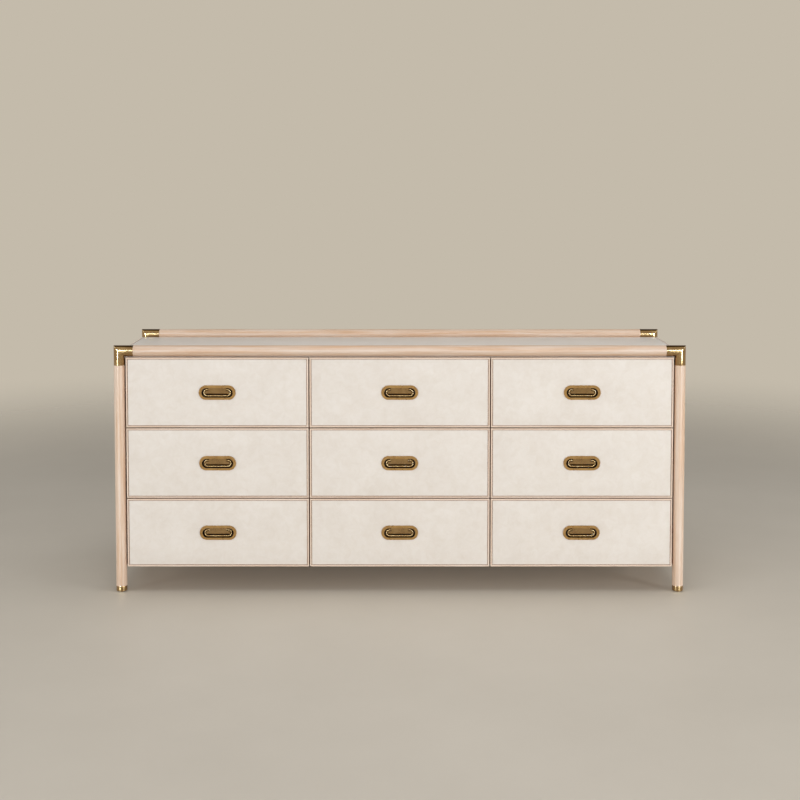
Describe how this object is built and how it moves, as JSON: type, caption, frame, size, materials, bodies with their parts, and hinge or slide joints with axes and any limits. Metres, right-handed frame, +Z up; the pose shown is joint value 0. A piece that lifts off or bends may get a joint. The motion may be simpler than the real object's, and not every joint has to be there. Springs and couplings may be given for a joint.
{
  "type": "dresser",
  "caption": "Low wide dresser: covered drawer fronts and top between two round dowel frames with mitred brass corners and feet; swinging bails in recessed brass cups.",
  "frame": {"origin": "middle of the footprint, on the floor", "axes": "+Z up, front with the drawers towards -Y, +X along the width to the right as seen from the front"},
  "size_m": [1.83, 0.508, 0.797],
  "materials": {
    "limed_oak": "limed oak, satin",
    "drawer_wood": "pale wood, satin",
    "cream_covering": "cream vellum-like covering, satin",
    "antique_brass": "aged brass, rubbed bright on its edges"
  },
  "bodies": {
    "case": {"post_front_left": "limed_oak", "post_front_right": "limed_oak", "post_back_left": "limed_oak", "post_back_right": "limed_oak", "top_rail_front": "limed_oak", "top_rail_back": "limed_oak", "elbow_front_left": "antique_brass", "elbow_front_right": "antique_brass", "elbow_back_left": "antique_brass", "elbow_back_right": "antique_brass", "foot_front_left": "antique_brass", "foot_front_right": "antique_brass", "foot_back_left": "antique_brass", "foot_back_right": "antique_brass", "top_panel": "limed_oak", "top_cover": "cream_covering", "side_panel_left": "limed_oak", "side_panel_right": "limed_oak", "side_cover_left": "cream_covering", "side_cover_right": "cream_covering", "divider_left": "limed_oak", "divider_right": "limed_oak", "bottom_panel": "limed_oak", "back_panel": "limed_oak"},
    "drawer_top_left": {"drawer_top_left_box": "drawer_wood", "drawer_top_left_cover": "cream_covering", "drawer_top_left_pull_plate": "antique_brass"},
    "bail_top_left": {"drawer_top_left_bail": "antique_brass"},
    "drawer_top_centre": {"drawer_top_centre_box": "drawer_wood", "drawer_top_centre_cover": "cream_covering", "drawer_top_centre_pull_plate": "antique_brass"},
    "bail_top_centre": {"drawer_top_centre_bail": "antique_brass"},
    "drawer_top_right": {"drawer_top_right_box": "drawer_wood", "drawer_top_right_cover": "cream_covering", "drawer_top_right_pull_plate": "antique_brass"},
    "bail_top_right": {"drawer_top_right_bail": "antique_brass"},
    "drawer_middle_left": {"drawer_middle_left_box": "drawer_wood", "drawer_middle_left_cover": "cream_covering", "drawer_middle_left_pull_plate": "antique_brass"},
    "bail_middle_left": {"drawer_middle_left_bail": "antique_brass"},
    "drawer_middle_centre": {"drawer_middle_centre_box": "drawer_wood", "drawer_middle_centre_cover": "cream_covering", "drawer_middle_centre_pull_plate": "antique_brass"},
    "bail_middle_centre": {"drawer_middle_centre_bail": "antique_brass"},
    "drawer_middle_right": {"drawer_middle_right_box": "drawer_wood", "drawer_middle_right_cover": "cream_covering", "drawer_middle_right_pull_plate": "antique_brass"},
    "bail_middle_right": {"drawer_middle_right_bail": "antique_brass"},
    "drawer_bottom_left": {"drawer_bottom_left_box": "drawer_wood", "drawer_bottom_left_cover": "cream_covering", "drawer_bottom_left_pull_plate": "antique_brass"},
    "bail_bottom_left": {"drawer_bottom_left_bail": "antique_brass"},
    "drawer_bottom_centre": {"drawer_bottom_centre_box": "drawer_wood", "drawer_bottom_centre_cover": "cream_covering", "drawer_bottom_centre_pull_plate": "antique_brass"},
    "bail_bottom_centre": {"drawer_bottom_centre_bail": "antique_brass"},
    "drawer_bottom_right": {"drawer_bottom_right_box": "drawer_wood", "drawer_bottom_right_cover": "cream_covering", "drawer_bottom_right_pull_plate": "antique_brass"},
    "bail_bottom_right": {"drawer_bottom_right_bail": "antique_brass"}
  },
  "joints": [
    {"name": "slide_top_left", "type": "slide", "parent": "case", "child": "drawer_top_left", "axis": [0, -1, 0], "range_m": [0, 0.33]},
    {"name": "swing_top_left", "type": "hinge", "parent": "drawer_top_left", "child": "bail_top_left", "pos_m": [-0.5833, -0.2476, 0.6555], "axis": [-1, 0, 0], "range_deg": [0, 90]},
    {"name": "slide_top_centre", "type": "slide", "parent": "case", "child": "drawer_top_centre", "axis": [0, -1, 0], "range_m": [0, 0.33]},
    {"name": "swing_top_centre", "type": "hinge", "parent": "drawer_top_centre", "child": "bail_top_centre", "pos_m": [0, -0.2476, 0.6555], "axis": [-1, 0, 0], "range_deg": [0, 90]},
    {"name": "slide_top_right", "type": "slide", "parent": "case", "child": "drawer_top_right", "axis": [0, -1, 0], "range_m": [0, 0.33]},
    {"name": "swing_top_right", "type": "hinge", "parent": "drawer_top_right", "child": "bail_top_right", "pos_m": [0.5833, -0.2476, 0.6555], "axis": [-1, 0, 0], "range_deg": [0, 90]},
    {"name": "slide_middle_left", "type": "slide", "parent": "case", "child": "drawer_middle_left", "axis": [0, -1, 0], "range_m": [0, 0.33]},
    {"name": "swing_middle_left", "type": "hinge", "parent": "drawer_middle_left", "child": "bail_middle_left", "pos_m": [-0.5833, -0.2476, 0.4277], "axis": [-1, 0, 0], "range_deg": [0, 90]},
    {"name": "slide_middle_centre", "type": "slide", "parent": "case", "child": "drawer_middle_centre", "axis": [0, -1, 0], "range_m": [0, 0.33]},
    {"name": "swing_middle_centre", "type": "hinge", "parent": "drawer_middle_centre", "child": "bail_middle_centre", "pos_m": [0, -0.2476, 0.4277], "axis": [-1, 0, 0], "range_deg": [0, 90]},
    {"name": "slide_middle_right", "type": "slide", "parent": "case", "child": "drawer_middle_right", "axis": [0, -1, 0], "range_m": [0, 0.33]},
    {"name": "swing_middle_right", "type": "hinge", "parent": "drawer_middle_right", "child": "bail_middle_right", "pos_m": [0.5833, -0.2476, 0.4277], "axis": [-1, 0, 0], "range_deg": [0, 90]},
    {"name": "slide_bottom_left", "type": "slide", "parent": "case", "child": "drawer_bottom_left", "axis": [0, -1, 0], "range_m": [0, 0.33]},
    {"name": "swing_bottom_left", "type": "hinge", "parent": "drawer_bottom_left", "child": "bail_bottom_left", "pos_m": [-0.5833, -0.2476, 0.20205], "axis": [-1, 0, 0], "range_deg": [0, 90]},
    {"name": "slide_bottom_centre", "type": "slide", "parent": "case", "child": "drawer_bottom_centre", "axis": [0, -1, 0], "range_m": [0, 0.33]},
    {"name": "swing_bottom_centre", "type": "hinge", "parent": "drawer_bottom_centre", "child": "bail_bottom_centre", "pos_m": [0, -0.2476, 0.20205], "axis": [-1, 0, 0], "range_deg": [0, 90]},
    {"name": "slide_bottom_right", "type": "slide", "parent": "case", "child": "drawer_bottom_right", "axis": [0, -1, 0], "range_m": [0, 0.33]},
    {"name": "swing_bottom_right", "type": "hinge", "parent": "drawer_bottom_right", "child": "bail_bottom_right", "pos_m": [0.5833, -0.2476, 0.20205], "axis": [-1, 0, 0], "range_deg": [0, 90]}
  ]
}
